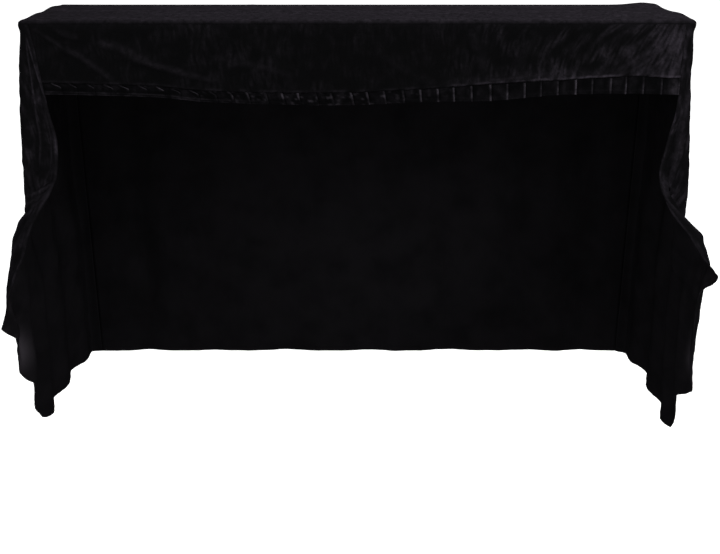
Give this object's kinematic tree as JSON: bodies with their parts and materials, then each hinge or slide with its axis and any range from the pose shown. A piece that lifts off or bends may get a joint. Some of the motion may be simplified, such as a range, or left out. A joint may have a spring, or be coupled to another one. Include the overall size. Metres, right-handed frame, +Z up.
{
  "type": "upright piano cover",
  "caption": "Fitted velvet cover for an upright piano: flat top, short pleat-trimmed front valance, long draped sides and a plain back, open at the front for playing.",
  "frame": {"origin": "middle of the top panel's underside, where the cover rests on the piano's flat top", "axes": "+X along the keyboard to the right as the player sees it, +Y from the front to the back, +Z up"},
  "size_m": [1.6009, 0.6163, 0.9991],
  "materials": {
    "velvet": "crushed velvet",
    "frill_velvet": "pleated velvet"
  },
  "bodies": {
    "root": {"top_panel": "velvet", "front_valance": "velvet", "pleated_frill": "frill_velvet", "left_side": "velvet", "right_side": "velvet", "back_panel": "velvet"}
  },
  "joints": []
}
